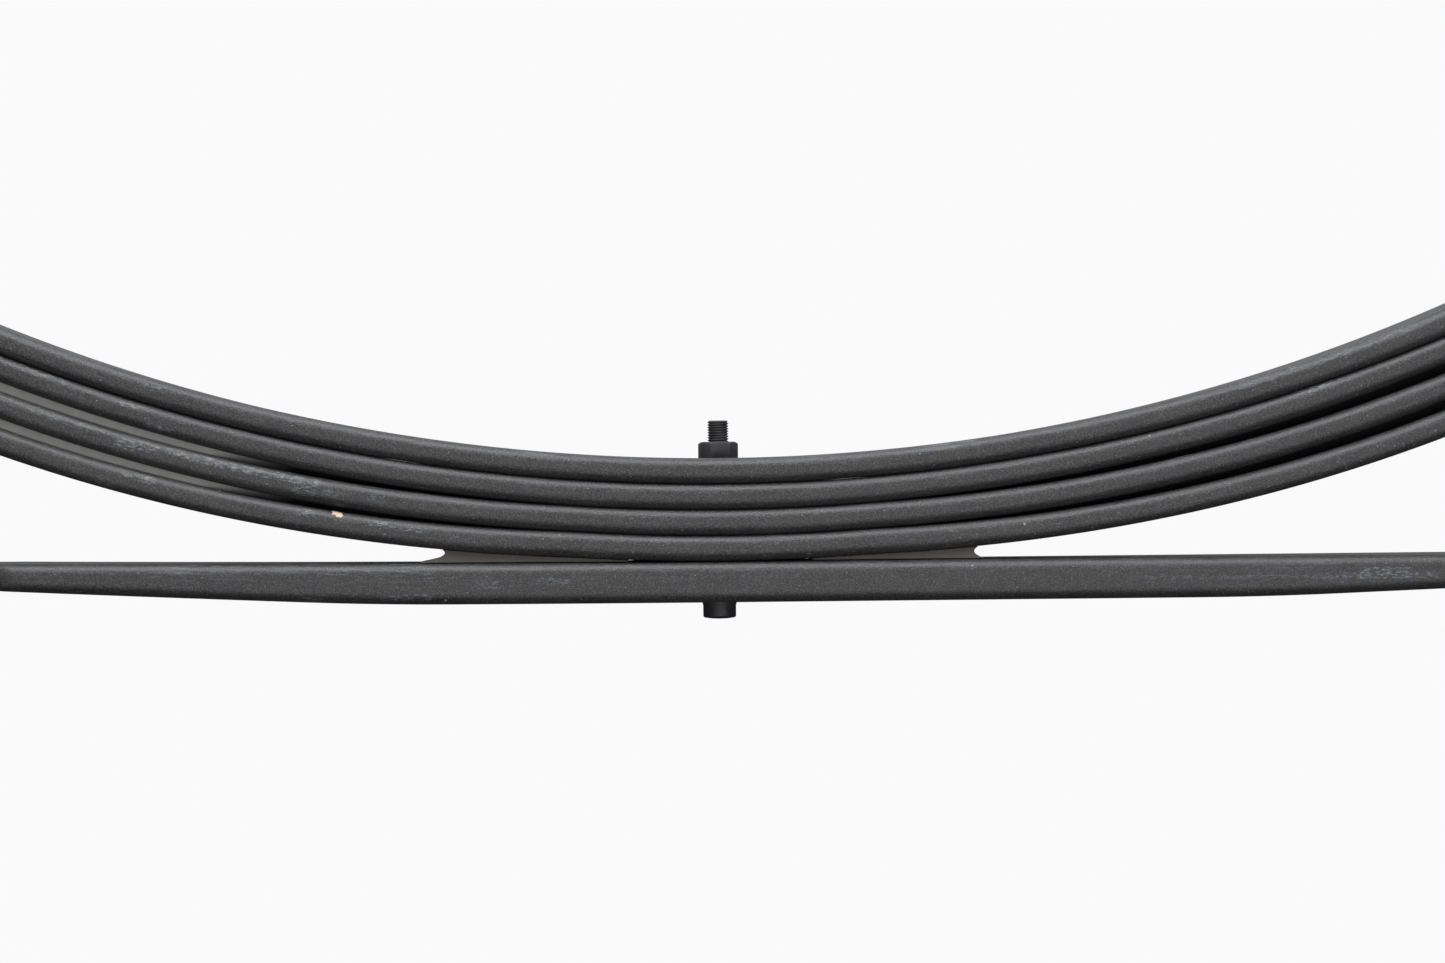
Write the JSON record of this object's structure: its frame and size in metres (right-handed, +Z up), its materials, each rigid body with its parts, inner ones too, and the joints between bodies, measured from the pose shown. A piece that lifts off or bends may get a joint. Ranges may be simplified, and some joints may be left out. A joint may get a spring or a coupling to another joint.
{
  "type": "leaf spring",
  "caption": "Two-stage semi-elliptic leaf spring: an arched pack with bushed eyes, tip pads and rebound clips over a thick, nearly flat overload leaf on a centre bolt.",
  "frame": {"origin": "where the centre bolt's axis meets the underside of the overload leaf, the face that stands on the axle's seat", "axes": "+X along the spring towards the rear (shackle) end, +Y across the leaves, +Z up, along the centre bolt"},
  "size_m": [1.2157, 0.0974, 0.3371],
  "materials": {
    "spring_paint": "satin charcoal-black paint with fine orange peel, dust and scuffs",
    "dark_hardware": "dark grey phosphated and painted steel, semi-matt",
    "zinc": "dull zinc-plated steel",
    "rubber": "matt black rubber",
    "liner": "flat dark warm grey polymer",
    "tip_pad": "matt black polymer"
  },
  "bodies": {
    "seat": {"main_leaf": "spring_paint", "second_leaf": "spring_paint", "third_leaf": "spring_paint", "fourth_leaf": "spring_paint", "third_leaf_strip_front": "liner", "fourth_leaf_strip_front": "liner", "third_leaf_strip_rear": "liner", "fourth_leaf_strip_rear": "liner", "overload_leaf": "spring_paint", "seat_wedge_front": "liner", "seat_wedge_rear": "liner", "centre_bolt": "dark_hardware", "centre_nut": "dark_hardware"},
    "front_end": {"front_bush_shell": "zinc", "front_bush_rubber": "rubber", "third_leaf_pad_front": "tip_pad", "fourth_leaf_pad_front": "tip_pad", "front_clip_strap": "spring_paint", "front_clip_rivet": "dark_hardware", "front_clip_spacer": "zinc", "front_clip_bolt": "zinc", "front_clip_nut": "zinc"},
    "rear_end": {"rear_bush_shell": "zinc", "rear_bush_rubber": "rubber", "third_leaf_pad_rear": "tip_pad", "fourth_leaf_pad_rear": "tip_pad", "rear_clip_strap": "spring_paint", "rear_clip_rivet": "dark_hardware", "rear_clip_spacer": "zinc", "rear_clip_bolt": "zinc", "rear_clip_nut": "zinc"},
    "front_core": {"front_bush_core": "zinc"},
    "rear_core": {"rear_bush_core": "zinc"}
  },
  "joints": [
    {"name": "front_flex", "type": "hinge", "parent": "seat", "child": "front_end", "pos_m": [-0.13, 0, 0.055], "axis": [0, -1, 0], "range_deg": [-3, 13], "stiffness_Nm_per_rad": 16000, "deforming": ["main_leaf", "second_leaf", "third_leaf", "fourth_leaf", "third_leaf_strip_front", "fourth_leaf_strip_front"]},
    {"name": "rear_flex", "type": "hinge", "parent": "seat", "child": "rear_end", "pos_m": [0.13, 0, 0.055], "axis": [0, 1, 0], "range_deg": [-3, 14], "stiffness_Nm_per_rad": 16000, "deforming": ["main_leaf", "second_leaf", "third_leaf", "fourth_leaf", "third_leaf_strip_rear", "fourth_leaf_strip_rear"]},
    {"name": "front_bush_twist", "type": "hinge", "parent": "front_end", "child": "front_core", "pos_m": [-0.53523, 0, 0.25698], "axis": [0, 1, 0], "range_deg": [-20, 20], "stiffness_Nm_per_rad": 80},
    {"name": "rear_bush_twist", "type": "hinge", "parent": "rear_end", "child": "rear_core", "pos_m": [0.58486, 0, 0.28899], "axis": [0, 1, 0], "range_deg": [-20, 20], "stiffness_Nm_per_rad": 80}
  ]
}
